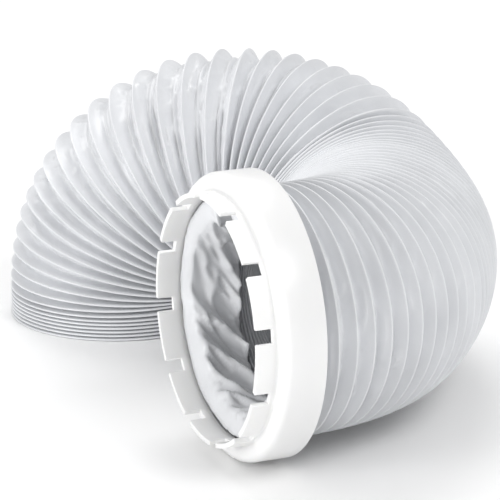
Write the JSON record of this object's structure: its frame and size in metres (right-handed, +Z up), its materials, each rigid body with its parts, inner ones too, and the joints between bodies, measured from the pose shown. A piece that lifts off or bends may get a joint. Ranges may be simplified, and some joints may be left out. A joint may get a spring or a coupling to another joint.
{
  "type": "flexible air duct",
  "caption": "Flexible air duct: pleated white film on a spring wire coil, with a tabbed push-in adaptor ring on one end and a bare end that slips over a pipe.",
  "frame": {"origin": "on the floor, under the middle of the bounding box at rest", "axes": "+Z up; the ring stands near the -Y end and faces roughly -X, and the duct turns back towards -X at the +Y end"},
  "size_m": [0.2262, 0.3131, 0.1305],
  "materials": {
    "ring_plastic": "semi-gloss moulded polypropylene, slightly milky",
    "duct_film": "thin soft PVC film, satin, slightly see-through",
    "coil_wire": "bright drawn spring wire"
  },
  "bodies": {
    "adaptor": {"adaptor_ring": "ring_plastic"},
    "mouth": {"film_mouth": "duct_film", "wire_mouth": "coil_wire"},
    "bend_01": {"film_bend_01": "duct_film", "wire_bend_01": "coil_wire"},
    "bend_02": {"film_bend_02": "duct_film", "wire_bend_02": "coil_wire"},
    "bend_03": {"film_bend_03": "duct_film", "wire_bend_03": "coil_wire"},
    "bend_04": {"film_bend_04": "duct_film", "wire_bend_04": "coil_wire"},
    "bend_05": {"film_bend_05": "duct_film", "wire_bend_05": "coil_wire"},
    "bend_06": {"film_bend_06": "duct_film", "wire_bend_06": "coil_wire"},
    "bend_07": {"film_bend_07": "duct_film", "wire_bend_07": "coil_wire"},
    "bend_08": {"film_bend_08": "duct_film", "wire_bend_08": "coil_wire"},
    "bend_09": {"film_bend_09": "duct_film", "wire_bend_09": "coil_wire"},
    "bend_10": {"film_bend_10": "duct_film", "wire_bend_10": "coil_wire"},
    "bend_11": {"film_bend_11": "duct_film", "wire_bend_11": "coil_wire"},
    "bend_12": {"film_bend_12": "duct_film", "wire_bend_12": "coil_wire"},
    "bend_13": {"film_bend_13": "duct_film", "wire_bend_13": "coil_wire"},
    "bend_14": {"film_bend_14": "duct_film", "wire_bend_14": "coil_wire"},
    "bend_15": {"film_bend_15": "duct_film", "wire_bend_15": "coil_wire"},
    "bend_16": {"film_bend_16": "duct_film", "wire_bend_16": "coil_wire"},
    "bend_17": {"film_bend_17": "duct_film", "wire_bend_17": "coil_wire"},
    "bend_18": {"film_bend_18": "duct_film", "wire_bend_18": "coil_wire"},
    "bend_19": {"film_bend_19": "duct_film", "wire_bend_19": "coil_wire"},
    "bend_20": {"film_bend_20": "duct_film", "wire_bend_20": "coil_wire"},
    "stack_01": {"film_stack_01": "duct_film", "wire_stack_01": "coil_wire"},
    "stack_02": {"film_stack_02": "duct_film", "wire_stack_02": "coil_wire"},
    "stack_03": {"film_stack_03": "duct_film", "wire_stack_03": "coil_wire"},
    "bare_end": {"film_end_cuff": "duct_film", "wire_end_turn": "coil_wire"}
  },
  "joints": [
    {"name": "adaptor_turn", "type": "hinge", "parent": "adaptor", "child": "mouth", "pos_m": [0.00861, -0.09571, 0.06], "axis": [0.9135, 0.4067, 0], "range_deg": [-180, 180]},
    {"name": "bend_01_open", "type": "hinge", "parent": "mouth", "child": "bend_01", "pos_m": [0.03532, -0.14093, 0.06587], "axis": [0.0455, -0.1022, -0.9937], "range_deg": [0, 15]},
    {"name": "bend_02_open", "type": "hinge", "parent": "bend_01", "child": "bend_02", "pos_m": [0.0647, -0.12222, 0.0653], "axis": [0.0455, -0.1022, -0.9937], "range_deg": [0, 15]},
    {"name": "bend_03_open", "type": "hinge", "parent": "bend_02", "child": "bend_03", "pos_m": [0.08732, -0.09579, 0.06361], "axis": [0.0455, -0.1022, -0.9937], "range_deg": [0, 15]},
    {"name": "bend_04_open", "type": "hinge", "parent": "bend_03", "child": "bend_04", "pos_m": [0.10027, -0.06484, 0.04829], "axis": [-0.1885, -0.0384, -0.9813], "range_deg": [0, 15]},
    {"name": "bend_05_open", "type": "hinge", "parent": "bend_04", "child": "bend_05", "pos_m": [0.10439, -0.04784, 0.04683], "axis": [-0.1885, -0.0384, -0.9813], "range_deg": [0, 15]},
    {"name": "bend_06_open", "type": "hinge", "parent": "bend_05", "child": "bend_06", "pos_m": [0.10769, -0.03065, 0.04552], "axis": [-0.1885, -0.0384, -0.9813], "range_deg": [0, 15]},
    {"name": "bend_07_open", "type": "hinge", "parent": "bend_06", "child": "bend_07", "pos_m": [0.11016, -0.01331, 0.04437], "axis": [-0.1885, -0.0384, -0.9813], "range_deg": [0, 15]},
    {"name": "bend_08_open", "type": "hinge", "parent": "bend_07", "child": "bend_08", "pos_m": [0.1011, 0.00367, 0.02028], "axis": [-0.6273, 0.0029, -0.7788], "range_deg": [0, 15]},
    {"name": "bend_09_open", "type": "hinge", "parent": "bend_08", "child": "bend_09", "pos_m": [0.09967, 0.03817, 0.02156], "axis": [-0.6273, 0.0029, -0.7788], "range_deg": [0, 15]},
    {"name": "bend_10_open", "type": "hinge", "parent": "bend_09", "child": "bend_10", "pos_m": [0.09072, 0.07073, 0.02889], "axis": [-0.6273, 0.0029, -0.7788], "range_deg": [0, 15]},
    {"name": "bend_11_open", "type": "hinge", "parent": "bend_10", "child": "bend_11", "pos_m": [0.08913, 0.08164, 0.08708], "axis": [0.136, 0.589, -0.7966], "range_deg": [0, 15]},
    {"name": "bend_12_open", "type": "hinge", "parent": "bend_11", "child": "bend_12", "pos_m": [0.07398, 0.09812, 0.09668], "axis": [0.136, 0.589, -0.7966], "range_deg": [0, 15]},
    {"name": "bend_13_open", "type": "hinge", "parent": "bend_12", "child": "bend_13", "pos_m": [0.05535, 0.11209, 0.10383], "axis": [0.136, 0.589, -0.7966], "range_deg": [0, 15]},
    {"name": "bend_14_open", "type": "hinge", "parent": "bend_13", "child": "bend_14", "pos_m": [0.03402, 0.12298, 0.10824], "axis": [0.136, 0.589, -0.7966], "range_deg": [0, 15]},
    {"name": "bend_15_open", "type": "hinge", "parent": "bend_14", "child": "bend_15", "pos_m": [0.00144, 0.0896, 0.1305], "axis": [0.225, 0.9744, 0], "range_deg": [0, 15]},
    {"name": "bend_16_open", "type": "hinge", "parent": "bend_15", "child": "bend_16", "pos_m": [-0.02498, 0.0957, 0.12729], "axis": [0.225, 0.9744, 0], "range_deg": [0, 15]},
    {"name": "bend_17_open", "type": "hinge", "parent": "bend_16", "child": "bend_17", "pos_m": [-0.04995, 0.10146, 0.11783], "axis": [0.225, 0.9744, 0], "range_deg": [0, 15]},
    {"name": "bend_18_open", "type": "hinge", "parent": "bend_17", "child": "bend_18", "pos_m": [-0.07207, 0.10657, 0.10266], "axis": [0.225, 0.9744, 0], "range_deg": [0, 15]},
    {"name": "bend_19_open", "type": "hinge", "parent": "bend_18", "child": "bend_19", "pos_m": [-0.09013, 0.11074, 0.08261], "axis": [0.225, 0.9744, 0], "range_deg": [0, 15]},
    {"name": "bend_20_open", "type": "hinge", "parent": "bend_19", "child": "bend_20", "pos_m": [-0.10621, 0.11445, 0.05023], "axis": [0.225, 0.9744, 0], "range_deg": [0, 15]},
    {"name": "stack_pull", "type": "slide", "parent": "bend_20", "child": "stack_01", "axis": [0, 0, -1], "range_m": [0, 0.022]},
    {"name": "stack_pull_02", "type": "slide", "parent": "stack_01", "child": "stack_02", "axis": [0, 0, -1], "range_m": [0, 0.022]},
    {"name": "stack_pull_03", "type": "slide", "parent": "stack_02", "child": "stack_03", "axis": [0, 0, -1], "range_m": [0, 0.022]},
    {"name": "stack_pull_04", "type": "slide", "parent": "stack_03", "child": "bare_end", "axis": [0, 0, -1], "range_m": [0, 0.022]}
  ],
  "couplings": [
    {"joint": "stack_pull_02", "follows": "stack_pull", "ratio": 1},
    {"joint": "stack_pull_03", "follows": "stack_pull", "ratio": 1},
    {"joint": "stack_pull_04", "follows": "stack_pull", "ratio": 1}
  ]
}
